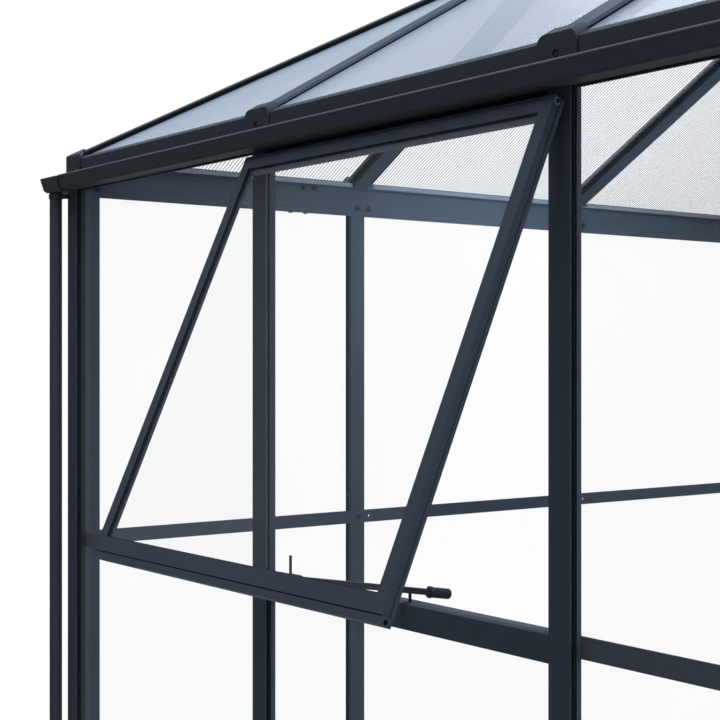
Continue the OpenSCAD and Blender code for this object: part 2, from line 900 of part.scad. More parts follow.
// Stay bar: pinned to the middle of the sash's bottom rail, laid over the sill, its grip in the room
stay_pin = -sash_h + drip_h + bottom_rail_w / 2;
stay_start_y = pivot_y + stay_pin * sin(open_angle);
stay_start_z = pivot_z + stay_pin * cos(open_angle);
stay_seat_y = post_d / 2;
stay_seat_z = brace_top + stay_rise;
stay_run = norm([stay_side, stay_seat_y - stay_start_y]);
stay_turn = atan2(stay_seat_y - stay_start_y, stay_side);
stay_fall = atan2(stay_start_z - stay_seat_z, stay_run);
peg_reach = stay_run / cos(stay_fall);
peg_hole = peg_d + 3;

module in_stays() {
    in_window_bays()
        translate([0, stay_start_y, stay_start_z])
            rotate([0, 0, stay_turn])
                rotate([0, stay_fall, 0])
                    children();
}

// Channel open downwards with three peg holes, its outer end cut to the sash, a round grip on its inner end
module stay_bars() color(dark_colour) {
    grip_from = peg_reach + stay_tail;
    difference() {
        in_stays()
            difference() {
                along_x(-stay_h, grip_from) {
                    translate([-stay_w / 2, stay_h / 2 - stay_t])
                        square([stay_w, stay_t]);
                    for (side = [-1, 1])
                        translate([side * (stay_w - stay_t) / 2 - stay_t / 2, -stay_h / 2])
                            square([stay_t, stay_h]);
                }
                for (step = [0 : 2])
                    translate([peg_reach - step * 3 * stay_w, 0, 0])
                        cylinder(d = peg_hole, h = stay_h);
            }
        in_sashes()
            translate([-sash_w / 2, -sash_d, -sash_h])
                cube([sash_w, sash_d + fit, sash_h]);
    }
    in_stays()
        translate([grip_from, 0, 0])
            rotate([0, 90, 0])
                cylinder(d = grip_d, h = grip_l);
}

// Pegs on the sill: a short one that holds the bar, a tall spare one on a foot plate beside the stud
module stay_pegs() color(dark_colour) {
    in_window_bays() {
        translate([stay_side, stay_seat_y, brace_top])
            cylinder(d = peg_d, h = stay_rise + stay_h / 2);
        translate([peg_in - bay / 2, stay_seat_y, brace_top]) {
            translate([-peg_plate_l / 2, 0, 0])
                cube([peg_plate_l, stay_w, peg_plate_t]);
            cylinder(d = peg_d, h = peg_h);
        }
    }
}

// Door leaves: hung from the two studs beside the doorway, meeting in its middle
door_half = bay - post_w / 2;
leaf_w = door_half - 1.5 * door_gap;
leaf_low = threshold_h + door_gap;
leaf_high = eave_z - door_gap;

module in_door_leaves() {
    on_wall(door_wall)
        for (side = [-1, 1])
            on_side(side)
                translate([door_gap / 2, 0, 0])
                    children();
}

module door_threshold() color(frame_colour) {
    on_wall(door_wall)
        along_x(-door_half, door_half)
            polygon([
                [0, 0], [foot_w, 0], [foot_w, threshold_nose], [post_d, threshold_h],
                [threshold_nose, threshold_h], [0, threshold_nose]
            ]);
}

module door_stiles() color(frame_colour) {
    in_door_leaves()
        for (side = [0, 1])
            translate([side * leaf_w, 0, leaf_low])
                on_side(side == 0 ? 1 : -1)
                    linear_extrude(leaf_high - leaf_low)
                        difference() {
                            square([door_frame_w, door_d]);
                            translate([door_frame_w - slot_deep, slot_in])
                                square([2 * slot_deep, slot_out - slot_in]);
                        }
}

// Section of a door rail, slotted for glass below and above as the flags say
module door_rail_section(z, slot_under, slot_over) {
    difference() {
        translate([0, z])
            square([door_d, door_frame_w]);
        if (slot_under)
            translate([slot_in, z - slot_deep])
                square([slot_out - slot_in, 2 * slot_deep]);
        if (slot_over)
            translate([slot_in, z + door_frame_w - slot_deep])
                square([slot_out - slot_in, 2 * slot_deep]);
    }
}

module door_rails() color(frame_colour) {
    in_door_leaves()
        along_x(door_frame_w, leaf_w - door_frame_w) {
            door_rail_section(leaf_low, false, true);
            door_rail_section(door_rail_z - door_frame_w / 2, true, true);
            door_rail_section(leaf_high - door_frame_w, true, false);
        }
}

module door_panes() color(glass_colour) {
    side = door_frame_w - glass_bite;
    mid = door_frame_w / 2 - glass_bite;
    in_door_leaves()
        for (run = [[leaf_low + side, door_rail_z - mid], [door_rail_z + mid, leaf_high - side]])
            translate([side, slot_in + fit / 2, run[0]])
                cube([leaf_w - 2 * side, glass_t, run[1] - run[0]]);
}

module door_handles() color(dark_colour) {
    grip_y = -handle_out - handle_d / 2;
    in_door_leaves()
        translate([door_frame_w / 2, 0, door_rail_z - handle_h / 2]) {
            translate([0, grip_y, 0])
                cylinder(d = handle_d, h = handle_h);
            for (z = [handle_d, handle_h - handle_d])
                translate([0, grip_y, z])
                    rotate([-90, 0, 0])
                        cylinder(d = handle_foot_d, h = -grip_y);
        }
}

module door_hinges() color(dark_colour) {
    in_door_leaves()
        for (z = [leaf_low + hinge_h, (leaf_low + leaf_high) / 2, leaf_high - 2 * hinge_h])
            translate([leaf_w + door_gap / 2, 0, z]) {
                translate([0, -hinge_d / 2, 0])
                    cylinder(d = hinge_d, h = hinge_h);
                translate([-hinge_plate, -hinge_t, 0])
                    cube([2 * hinge_plate, hinge_t, hinge_h]);
            }
}

base_rails();
corner_posts();
studs(front);  // front_studs
studs(right);  // right_studs
studs(back);  // back_studs
studs(left);  // left_studs
wall_braces();
panes(front);  // front_panes
panes(right);  // right_panes
panes(back);  // back_panes
panes(left);  // left_panes
eave_beam(front);  // front_eave_beam
eave_beam(right);  // right_eave_beam
eave_beam(back);  // back_eave_beam
eave_beam(left);  // left_eave_beam
gutter(front);  // front_gutter
gutter(right);  // right_gutter
gutter(back);  // back_gutter
gutter(left);  // left_gutter
gutter_corners();
downpipes();
rafters(front);  // front_rafters
rafters(right);  // right_rafters
rafters(back);  // back_rafters
rafters(left);  // left_rafters
hip_rafters();
ridge_beam();
roof_sheets(front);  // front_roof_sheets
roof_sheets(right);  // right_roof_sheets
roof_sheets(back);  // back_roof_sheets
roof_sheets(left);  // left_roof_sheets
rafter_end_caps();
hip_end_caps();
window_sills();
window_top_rails();
window_bottom_rails();
window_stiles();
window_panes();
stay_bars();
stay_pegs();
door_threshold();
door_stiles();
door_rails();
door_panes();
door_handles();
door_hinges();
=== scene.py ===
import json
import math

import bmesh
import bpy
from mathutils import Matrix, Vector


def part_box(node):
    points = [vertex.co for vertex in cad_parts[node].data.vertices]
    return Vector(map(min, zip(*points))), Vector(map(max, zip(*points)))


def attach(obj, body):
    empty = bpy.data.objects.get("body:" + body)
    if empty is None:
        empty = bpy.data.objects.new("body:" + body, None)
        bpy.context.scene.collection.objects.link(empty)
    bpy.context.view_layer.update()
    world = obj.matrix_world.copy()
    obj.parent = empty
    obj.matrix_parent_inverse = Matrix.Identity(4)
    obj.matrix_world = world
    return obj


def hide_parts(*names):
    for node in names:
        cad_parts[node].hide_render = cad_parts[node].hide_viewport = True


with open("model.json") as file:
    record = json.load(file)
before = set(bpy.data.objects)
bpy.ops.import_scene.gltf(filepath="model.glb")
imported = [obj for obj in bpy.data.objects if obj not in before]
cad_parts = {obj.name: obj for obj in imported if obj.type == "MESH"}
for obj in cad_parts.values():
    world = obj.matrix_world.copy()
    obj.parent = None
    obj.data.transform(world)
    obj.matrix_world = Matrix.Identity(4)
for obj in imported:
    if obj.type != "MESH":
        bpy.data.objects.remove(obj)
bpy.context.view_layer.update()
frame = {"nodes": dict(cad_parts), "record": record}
scene = bpy.context.scene
scene.view_settings.view_transform = "Standard"
scene.cycles.transparent_max_bounces = 64  # a sight line along the roof crosses many ribs
nodes = frame["nodes"]
print("frame loaded:", len(nodes), "nodes")

# the house in metres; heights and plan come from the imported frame
house = {"bay": 0.74, "longBays": 5, "shortBays": 4, "pitch": math.radians(30), "doorWall": 1,
         "windowWalls": (0, 2)}
profile = {"wide": 0.042, "deep": 0.021, "flange": 0.0047, "pane": 0.004, "fit": 0.0003, "base": 0.060,
           "sill": 0.040, "brace": 0.003}
halfLong, halfShort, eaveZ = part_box("corner_posts")[1]
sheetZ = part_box("front_roof_sheets")[0].z  # underside of the roof sheets at the wall's outer face
braceLow, braceTop = (corner.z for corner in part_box("wall_braces"))
wallNames = ("front", "right", "back", "left")
walls = range(len(wallNames))
planCorners = [(x, y) for x in (-1, 1) for y in (-1, 1)]
bayHalf = (house["bay"] - profile["wide"]) / 2  # half of a bay's clear width

outward = Matrix.Rotation(math.pi / 2, 4, "X")  # turns z to face out of a wall
inward = Matrix.Rotation(-math.pi / 2, 4, "X")  # turns z to face into the room
alongX = Matrix.Rotation(math.pi / 2, 4, "Y")  # turns z to run along x


def at(x, y, z):
    return Matrix.Translation((x, y, z))


def bayCount(wall):
    return house["shortBays"] if wall % 2 else house["longBays"]


def wallSpan(wall):
    return 2 * (halfShort if wall % 2 else halfLong)


def wallDepth(wall):
    return 2 * (halfLong if wall % 2 else halfShort)


def studX(wall, i):
    return (i - bayCount(wall) / 2) * house["bay"]


def innerStuds(wall):  # the places between two bays, with a stud below and a rafter above
    return [studX(wall, i) for i in range(1, bayCount(wall))]


def hasDoor(wall, i):
    return wall == house["doorWall"] and abs(i - 0.5 - bayCount(wall) / 2) < 1


def hasStud(wall, x):  # none stands in the middle of the double door
    return wall != house["doorWall"] or x != 0


def hasWindow(wall, i):
    return wall in house["windowWalls"] and i == sash["bay"]


def onWall(wall):  # x along the wall, y into the room from its outer face
    return Matrix.Rotation(math.pi / 2 * wall, 4, "Z") @ at(0, -wallDepth(wall) / 2, 0)


def roofPoint(x, y, lift):  # on a slope: y inward in plan, lift square to the sheets
    return Vector((x, y, sheetZ + y * math.tan(house["pitch"]) + lift / math.cos(house["pitch"])))


# window sash, hung at its top edge and standing open
sash = {"bay": 2, "open": math.radians(23.7), "drop": 0.0195, "lap": 0.033, "cover": 0.0195, "deep": 0.020,
        "lip": 0.002, "stile": 0.022, "topRail": 0.025, "bottomRail": 0.0245, "drip": 0.0125}
sashWide = house["bay"] - profile["wide"] + 2 * sash["lap"]
sashHigh = eaveZ - sash["drop"] - braceTop + sash["cover"]
sashHalf = sashWide / 2 - sash["stile"]  # half of its clear width


def inSash(wall):  # z runs up the sash and is 0 at the pivot, y towards the room
    pivotPlace = at(studX(wall, sash["bay"] - 0.5), -profile["fit"], eaveZ - sash["drop"])
    return onWall(wall) @ pivotPlace @ Matrix.Rotation(-sash["open"], 4, "X")


# camera
view = {"place": (1.0451, -2.8826, 1.453), "azimuth": 53.4, "lens": 73.5, "sensor": 36.0, "farthest": 100}


def makeCamera():
    data = bpy.data.cameras.new("camera")
    data.lens = view["lens"]
    data.sensor_width = view["sensor"]
    data.clip_end = view["farthest"]
    camera = bpy.data.objects.new("camera", data)
    camera.location = view["place"]
    camera.rotation_euler = (math.pi / 2, 0, math.radians(view["azimuth"]))
    scene.collection.objects.link(camera)
    scene.camera = camera


makeCamera()
print("camera set")


class Wire:  # a socket in a node tree, with arithmetic
    def __init__(self, tree, socket=None):
        self.tree = tree
        self.socket = socket

    def add(self, kind, settings=None, sockets=None, out=0):
        node = self.tree.nodes.new("ShaderNode" + kind)
        for name, value in (settings or {}).items():
            setattr(node, name, value)
        for key, value in (sockets or {}).items():
            if isinstance(value, Wire):
                self.tree.links.new(value.socket, node.inputs[key])
            else:
                node.inputs[key].default_value = value
        return Wire(self.tree, node.outputs[out] if node.outputs else None)

    def sibling(self, name):  # another output of the same node
        return Wire(self.tree, self.socket.node.outputs[name])

    def maths(self, operation, first, second):
        return self.add("Math", {"operation": operation}, {0: first, 1: second})

    def __add__(self, other):
        return self.maths("ADD", self, other)

    def __sub__(self, other):
        return self.maths("SUBTRACT", self, other)

    def __rsub__(self, other):
        return self.maths("SUBTRACT", other, self)

    def __mul__(self, other):
        return self.maths("MULTIPLY", self, other)

    __radd__ = __add__
    __rmul__ = __mul__

    def blend(self, low, high):  # colour between low and high by this value
        return self.add("Mix", {"data_type": "RGBA"}, {0: self, 6: low, 7: high}, 2)

    def noise(self, scale, detail=2.0, rough=0.5):
        sockets = {"Vector": self, "Scale": scale, "Detail": detail, "Roughness": rough}
        return self.add("TexNoise", {}, sockets)

    def bump(self, strength, distance):
        return self.add("Bump", {}, {"Strength": strength, "Distance": distance, "Height": self})


def newMaterial(name, fixed):  # a Principled material with its constant sockets set
    material = bpy.data.materials.new(name)
    material.use_nodes = True
    tree = material.node_tree
    shader = tree.nodes["Principled BSDF"]
    for socket, value in fixed.items():
        shader.inputs[socket].default_value = value
    start = Wire(tree)
    place = start.add("TexCoord", out=3)  # object coordinates, which are metres in the shared frame
    return material, shader, place


def feed(shader, socket, wire):
    wire.tree.links.new(wire.socket, shader.inputs[socket])


def tints(colour, vary):  # a darker and a lighter shade
    return [tuple(c * factor for c in colour) + (1.0,) for factor in (1 - vary, 1 + vary)]


# finishes of the bars, caps, seals, tapes and screws, and a light finish that also paints highlights
paint = {"colour": (0.054, 0.067, 0.087), "vary": 0.10, "rough": 0.46, "grain": 1400, "shine": 0.006}
gutterPaint = {"colour": (0.052, 0.061, 0.071), "vary": 0.10, "rough": 0.52, "grain": 1400, "shine": 0.006}
plastic = {"colour": (0.049, 0.057, 0.069), "vary": 0.12, "rough": 0.55, "grain": 2600, "shine": 0.01}
blackPlastic = {"colour": (0.027, 0.031, 0.037), "vary": 0.10, "rough": 0.48, "grain": 2600, "shine": 0.03}
# black rubber for the real seals; also painted shade on the hips' cover edges and over the window bays
rubberAndShadeLook = {"colour": (0.010, 0.011, 0.012), "vary": 0.2, "rough": 0.7, "grain": 3200, "shine": 0.01}
# light foil finish: real on the seat tapes, a painted highlight on the beads and pivot washers
foilAndHighlightLook = {"colour": (0.155, 0.172, 0.197), "vary": 0.10, "rough": 0.50, "grain": 1800, "shine": 0.01}
steel = {"colour": (0.016, 0.018, 0.022), "vary": 0.15, "rough": 0.38, "grain": 2200, "shine": 0.1}
coat = {"detail": 3.0, "cloud": 4.0, "cloudShare": 0.6, "dust": 38.0, "dustDetail": 5.0, "dustRough": 0.62,
        "roughSpread": 0.16, "bump": 0.18, "grainDeep": 0.0003}


def coatedFinish(name, look):  # fine grain, faint clouds and dust
    material, shader, place = newMaterial(name, {"Specular IOR Level": look["shine"]})
    grain = place.noise(look["grain"], coat["detail"])
    cloud = place.noise(coat["cloud"], coat["detail"])
    dust = place.noise(coat["dust"], coat["dustDetail"], coat["dustRough"])
    shade = cloud * coat["cloudShare"] + dust * (1 - coat["cloudShare"])
    feed(shader, "Base Color", shade.blend(*tints(look["colour"], look["vary"])))
    feed(shader, "Roughness", (dust - 0.5) * coat["roughSpread"] + look["rough"])
    feed(shader, "Normal", grain.bump(coat["bump"], coat["grainDeep"]))
    return material


glass = {"colour": (0.62, 0.66, 0.67, 1.0), "alpha": 0.02, "smear": 0.014, "smearSize": 5.0,
         "smearDetail": 4.0, "smearRough": 0.6, "rough": 0.04, "roughSpread": 0.06, "index": 1.5}


def glassFinish():
    fixed = {"Base Color": glass["colour"], "IOR": glass["index"]}
    material, shader, place = newMaterial("paneGlass", fixed)
    smear = place.noise(glass["smearSize"], glass["smearDetail"], glass["smearRough"])
    feed(shader, "Alpha", (smear - 0.5) * glass["smear"] + glass["alpha"])
    feed(shader, "Roughness", (smear - 0.5) * glass["roughSpread"] + glass["rough"])
    return material


# twin-wall sheets: the skins are clear seen squarely; along the slope they turn opaque in their own colour,
# and the top skin's blue there is a painted sky reflection
topSkin = {"colour": (0.232, 0.282, 0.372), "alpha": 0.025, "glance": 1.08, "rough": 0.35, "shine": 0.2}
underSkin = {"colour": (0.80, 0.83, 0.86), "alpha": 0.02, "glance": 0.20, "rough": 0.3, "shine": 0.2}
# the rib feet are grey and partly opaque: painted shade of the ribs seen from below
ribFoot = {"colour": (0.48, 0.48, 0.49), "alpha": 0.34, "glance": 0.10, "rough": 0.4, "shine": 0.1}
ribWeb = {"colour": (0.62, 0.66, 0.70), "alpha": 0.03, "glance": 0.06, "rough": 0.4, "shine": 0.1}
sheetLooks = {"sheetTop": topSkin, "sheetUnder": underSkin, "ribFoot": ribFoot, "ribWeb": ribWeb}
topSlot, underSlot, footSlot, webSlot = range(len(sheetLooks))
milk = {"haze": 2.2, "hazeDetail": 3.0, "hazeShare": 0.7, "fine": 60.0, "vary": 0.07, "roughSpread": 0.12,
        "index": 1.45}


def sheetFinish(name, look):
    fixed = {"Specular IOR Level": look["shine"], "IOR": milk["index"]}
    material, shader, place = newMaterial(name, fixed)
    haze = place.noise(milk["haze"], milk["hazeDetail"])
    fine = place.noise(milk["fine"])
    shade = haze * milk["hazeShare"] + fine * (1 - milk["hazeShare"])
    feed(shader, "Base Color", shade.blend(*tints(look["colour"], milk["vary"])))
    feed(shader, "Roughness", (fine - 0.5) * milk["roughSpread"] + look["rough"])
    # opacity rises at grazing angles so that the skin's colour shows there: a painted reflection
    facing = place.add("LayerWeight", {}, {"Blend": 0.5}, 1)
    glance = facing * facing * facing
    feed(shader, "Alpha", glance * glance * look["glance"] + look["alpha"])
    return material


framePaint = coatedFinish("framePaint", paint)
gutterCoat = coatedFinish("gutterCoat", gutterPaint)
darkPlastic = coatedFinish("darkPlastic", plastic)
hardware = coatedFinish("hardware", blackPlastic)
rubberAndShadeFinish = coatedFinish("rubberAndShadeFinish", rubberAndShadeLook)
boltSteel = coatedFinish("boltSteel", steel)
foilAndHighlightFinish = coatedFinish("foilAndHighlightFinish", foilAndHighlightLook)
paneGlass = glassFinish()
sheetFinishes = [sheetFinish(name, look) for name, look in sheetLooks.items()]
slotFinish = {"frame_paint": framePaint, "gutter_paint": gutterCoat, "dark_plastic": darkPlastic,
              "pane_glass": paneGlass, "roof_sheet": sheetFinishes[topSlot], "hardware": hardware}
print("finishes made")

# softened edges of the bars, and caps that are rounded all over
softEdge = {"frame_paint": 0.0008, "gutter_paint": 0.0006, "dark_plastic": 0.0012, "hardware": 0.0008}
edge = {"weld": 0.00002, "segments": 2, "angle": math.radians(35)}
moulded = {"nodes": ("hip_end_caps",), "cell": 0.0016, "pull": 0.5, "passes": 30, "keep": 0.3}


def soften(thing, width):
    weld = thing.modifiers.new("weld", "WELD")
    weld.merge_threshold = edge["weld"]
    bevel = thing.modifiers.new("soft edges", "BEVEL")
    bevel.width = width
    bevel.segments = edge["segments"]
    bevel.limit_method = "ANGLE"
    bevel.angle_limit = edge["angle"]


def roundOff(thing):
    cells = thing.modifiers.new("even cells", "REMESH")
    cells.mode = "VOXEL"
    cells.voxel_size = moulded["cell"]
    cells.use_smooth_shade = True
    relax = thing.modifiers.new("round edges", "SMOOTH")
    relax.factor = moulded["pull"]
    relax.iterations = moulded["passes"]
    thin = thing.modifiers.new("fewer faces", "DECIMATE")
    thin.ratio = moulded["keep"]


def dressNodes():
    for row in frame["record"]["subparts"]:
        thing = nodes[row["node"]]
        slot = row["material_slot"]
        thing.data.materials.clear()
        thing.data.materials.append(slotFinish[slot])
        if row["node"] in moulded["nodes"]:
            roundOff(thing)
        elif slot in softEdge:
            soften(thing, softEdge[slot])


dressNodes()
print("nodes dressed")


def addPrism(shape, low, high, materials=(0,)):  # closed prism between two rings; a material for each side
    lows = [shape.verts.new(p) for p in low]
    highs = [shape.verts.new(p) for p in high]
    count = len(lows)
    shape.faces.new(list(reversed(lows))).material_index = materials[0]
    shape.faces.new(highs).material_index = materials[0]
    for i in range(count):
        j = (i + 1) % count
        side = shape.faces.new((lows[i], lows[j], highs[j], highs[i]))
        side.material_index = materials[i % len(materials)]


def addBar(shape, place, start, end, across, up, outline):  # outline in across and up
    across = Vector(across)
    up = Vector(up)
    rings = [[place @ (Vector(p) + across * a + up * b) for a, b in outline] for p in (start, end)]
    addPrism(shape, rings[0], rings[1])


def addAlongX(shape, place, xFrom, xTo, outline):  # outline in y and z
    addBar(shape, place, (xFrom, 0, 0), (xTo, 0, 0), (0, 1, 0), (0, 0, 1), outline)


def addTurned(shape, place, steps, sides, ring=False):  # turned about z; a ring closes on its first step
    turns = [2 * math.pi * k / sides for k in range(sides)]
    rings = []
    for radius, height in steps:
        points = [Vector((radius * math.cos(a), radius * math.sin(a), height)) for a in turns]
        rings.append([shape.verts.new(place @ p) for p in points])
    if ring:
        rings.append(rings[0])
    else:
        shape.faces.new(list(reversed(rings[0])))
        shape.faces.new(rings[-1])
    for low, high in zip(rings, rings[1:]):
        for k in range(sides):
            m = (k + 1) % sides
            shape.faces.new((low[k], low[m], high[m], high[k]))


def keepPiece(name, shape, materials, replaced=(), smooth=False):
    bmesh.ops.recalc_face_normals(shape, faces=shape.faces)
    mesh = bpy.data.meshes.new(name)
    shape.to_mesh(mesh)
    shape.free()
    for material in materials:
        mesh.materials.append(material)
    if smooth:
        mesh.shade_smooth()
        mesh.set_sharp_from_angle(angle=edge["angle"])
    piece = bpy.data.objects.new(name, mesh)
    scene.collection.objects.link(piece)
    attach(piece, "root")
    if replaced:
        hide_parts(*replaced)


# twin-wall roof sheets: two skins, and at every rib a web on a wider foot
twinWall = {"thick": 0.010, "skin": 0.0007, "web": 0.0006, "foot": 0.0030, "fillet": 0.0010, "gap": 0.00005,
            "pitch": 0.00907, "edge": 0.0073, "ribEnd": 0.001, "shortest": 0.01, "closed": 1e-6}


def sheetReach(wall, x):  # how far in plan the sheet runs inward at x
    hip = wallSpan(wall) / 2 - abs(x) - twinWall["edge"] * math.sqrt(2)
    return min(hip, wallDepth(wall) / 2 - twinWall["edge"])


def sheetOutline(wall, xFrom, xTo):  # plan outline of one bay's sheet, and where it starts and ends
    corner = wallSpan(wall) / 2 - twinWall["edge"] * math.sqrt(2)
    kink = corner - (wallDepth(wall) / 2 - twinWall["edge"])
    xFrom = max(xFrom, -corner)
    xTo = min(xTo, corner)
    ends = sorted({xFrom, xTo} | {x for x in (-kink, 0.0, kink) if xFrom < x < xTo})
    far = [(x, sheetReach(wall, x)) for x in reversed(ends)]
    return [(xFrom, 0.0), (xTo, 0.0)] + [p for p in far if p[1] > twinWall["closed"]], xFrom, xTo


def ribOutline():  # a foot on the lower skin that narrows to the web, with the finish of each side
    foot = twinWall["foot"] / 2
    web = twinWall["web"] / 2
    low = twinWall["skin"] + twinWall["gap"]
    high = twinWall["thick"] - low
    knee = low + twinWall["fillet"]
    outline = [(-foot, low), (foot, low), (web, knee), (web, high), (-web, high), (-web, knee)]
    return outline, (footSlot, footSlot, webSlot, webSlot, webSlot, footSlot)


def addRibs(shape, wall, xFrom, xTo):
    rib, finishes = ribOutline()
    count = int((xTo - xFrom) / twinWall["pitch"])
    for n in range(1, count):
        x = xFrom + (xTo - xFrom) * n / count
        reach = sheetReach(wall, x)
        if reach > twinWall["shortest"]:
            ends = (twinWall["ribEnd"], reach - 2 * twinWall["ribEnd"])
            rings = [[roofPoint(x + dx, y, lift) for dx, lift in rib] for y in ends]
            addPrism(shape, rings[0], rings[1], finishes)


def makeTwinWall(wall):
    shape = bmesh.new()
    skin = twinWall["skin"]
    thick = twinWall["thick"]
    for i in range(1, bayCount(wall) + 1):
        left = studX(wall, i - 1) + twinWall["edge"] if i > 1 else -wallSpan(wall)
        right = studX(wall, i) - twinWall["edge"] if i < bayCount(wall) else wallSpan(wall)
        outline, xFrom, xTo = sheetOutline(wall, left, right)
        for low, high, finish in ((0, skin, underSlot), (thick - skin, thick, topSlot)):
            rings = [[roofPoint(x, y, lift) for x, y in outline] for lift in (low, high)]
            addPrism(shape, rings[0], rings[1], (finish,))
        addRibs(shape, wall, xFrom, xTo)
    shape.transform(onWall(wall))
    name = wallNames[wall]
    keepPiece(name + "TwinWall", shape, sheetFinishes, [name + "_roof_sheets"])


for wall in walls:
    makeTwinWall(wall)
print("twin-wall sheets made")

# glazing seals: a black bead on both faces of every pane, along all its edges
seal = {"wide": 0.0018, "outer": 0.0024, "inner": 0.0026, "slant": 0.0008, "shy": 0.0001, "sashShare": 0.45}
glassFront = profile["flange"] + profile["fit"] / 2
glassBack = glassFront + profile["pane"]


# box is x and z of the opening; the glass lies from front to back
def addSealRing(shape, place, box, front, back, share=1.0):
    left, right, low, high = box
    wide = seal["wide"] * share
    slant = seal["slant"] * share
    beads = ((front - seal["shy"], -share * seal["outer"]), (back + seal["shy"], share * seal["inner"]))
    for face, rise in beads:
        outline = [(0, 0), (wide, 0), (wide, rise - math.copysign(slant, rise)), (0, rise)]
        for x, side in ((left, 1), (right, -1)):
            addBar(shape, place, (x, face, low), (x, face, high), (side, 0, 0), (0, 1, 0), outline)
        for z, side in ((low, 1), (high, -1)):
            ends = (left + wide, face, z), (right - wide, face, z)
            addBar(shape, place, ends[0], ends[1], (0, 0, side), (0, 1, 0), outline)


def makeWallSeals(wall):
    shape = bmesh.new()
    for i in range(1, bayCount(wall) + 1):
        if hasDoor(wall, i):
            continue
        middle = studX(wall, i - 0.5)
        top = braceTop - profile["sill"] if hasWindow(wall, i) else eaveZ
        box = (middle - bayHalf, middle + bayHalf, profile["base"], top)
        addSealRing(shape, onWall(wall), box, glassFront, glassBack)
    keepPiece(wallNames[wall] + "Seals", shape, [rubberAndShadeFinish])


def makeSashSeals():
    shape = bmesh.new()
    box = (-sashHalf, sashHalf, -sashHigh + sash["drip"] + sash["bottomRail"], -sash["topRail"])
    front = -sash["deep"] + sash["lip"] + profile["fit"] / 2
    for wall in house["windowWalls"]:
        addSealRing(shape, inSash(wall), box, front, front + profile["pane"], seal["sashShare"])
    keepPiece("sashSeals", shape, [rubberAndShadeFinish])


# double door, with what its seals and hinge screws need
door = {"frame": 0.048, "gap": 0.004, "threshold": 0.018, "rail": 1.0, "hingeHigh": 0.070,
        "hingeThick": 0.0025, "screwOut": 0.017, "screwAt": (0.2, 0.8)}
leafWide = house["bay"] - profile["wide"] / 2 - 1.5 * door["gap"]
leafLow = door["threshold"] + door["gap"]
leafHigh = eaveZ - door["gap"]


def makeDoorSeals():
    shape = bmesh.new()
    near = door["gap"] / 2 + door["frame"]
    far = door["gap"] / 2 + leafWide - door["frame"]
    fields = ((leafLow + door["frame"], door["rail"] - door["frame"] / 2),
              (door["rail"] + door["frame"] / 2, leafHigh - door["frame"]))
    for low, high in fields:
        for box in ((near, far, low, high), (-far, -near, low, high)):
            addSealRing(shape, onWall(house["doorWall"]), box, glassFront, glassBack)
    keepPiece("doorSeals", shape, [rubberAndShadeFinish])


for wall in walls:
    makeWallSeals(wall)
makeSashSeals()
makeDoorSeals()
print("glazing seals made")

# black head strip that closes the window bays over the sash; its black is partly painted shade under the
# gutter
head = {"front": 0.0006, "back": 0.0120, "high": 0.0190, "nose": 0.0030}


def makeWindowHeads():
    shape = bmesh.new()
    front = head["front"]
    low = -head["high"]
    nose = head["nose"]
    outline = [(front, 0), (front, low + nose), (front + nose, low), (head["back"], low), (head["back"], 0)]
    for wall in house["windowWalls"]:
        place = onWall(wall) @ at(studX(wall, sash["bay"] - 0.5), 0, eaveZ)
        addAlongX(shape, place, -bayHalf, bayHalf, outline)
    keepPiece("windowHeads", shape, [rubberAndShadeFinish])


makeWindowHeads()
print("window heads made")

# black strip laid over the edges of the hips' cover strips, painted shade of the covers' overhang; and a
# bead along their fold
hipShadeAndBead = {"cover": 0.0173, "thick": 0.0006, "from": 0.016, "edge": 0.0290, "lip": 0.0110, "start": 0.0525,
          "short": 0.075, "bead": 0.0021, "beadSides": 12}
hipPitch = math.atan(math.tan(house["pitch"]) / math.sqrt(2))
hipFold = math.asin(math.sin(house["pitch"]) / math.sqrt(2))
hipReach = halfShort * math.sqrt(2) / math.cos(hipPitch) - hipShadeAndBead["short"]


def inHip(x, y):  # x runs up the hip from the outer corner of the plan, z square to it
    corner = Matrix.Diagonal((x, y, 1, 1)) @ at(-halfLong, -halfShort, sheetZ)
    return corner @ Matrix.Rotation(math.pi / 4, 4, "Z") @ Matrix.Rotation(-hipPitch, 4, "Y")


def onFold(across, lift):  # a point of the hip's section, lifted square to its slope
    return across, lift / math.cos(hipFold) - across * math.tan(hipFold)


# a thin black layer on the cover strips' edges: painted shade of their overhang
def makeHipShadeStrips():
    shape = bmesh.new()
    low = hipShadeAndBead["cover"] + profile["fit"] / 3
    top = low + hipShadeAndBead["thick"]
    near = hipShadeAndBead["edge"] + profile["fit"] / 3
    far = near + hipShadeAndBead["thick"]
    outline = [onFold(hipShadeAndBead["from"], low), onFold(near, low), onFold(near, hipShadeAndBead["lip"]),
               onFold(far, hipShadeAndBead["lip"]), onFold(far, top), onFold(hipShadeAndBead["from"], top)]
    for x, y in planCorners:
        for side in (-1, 1):
            section = [(side * a, b) for a, b in outline]
            addAlongX(shape, inHip(x, y), hipShadeAndBead["start"], hipReach, section)
    keepPiece("hipShadeStrips", shape, [rubberAndShadeFinish])


# the bead is in the light finish: a painted highlight along the fold
def makeHipBeads():
    shape = bmesh.new()
    steps = [(hipShadeAndBead["bead"], 0), (hipShadeAndBead["bead"], hipReach - hipShadeAndBead["start"])]
    high = onFold(0, hipShadeAndBead["cover"])[1]
    for x, y in planCorners:
        place = inHip(x, y) @ at(hipShadeAndBead["start"], 0, high) @ alongX
        addTurned(shape, place, steps, hipShadeAndBead["beadSides"])
    keepPiece("hipBeads", shape, [foilAndHighlightFinish], smooth=True)


makeHipShadeStrips()
makeHipBeads()
print("hip gaskets and beads made")

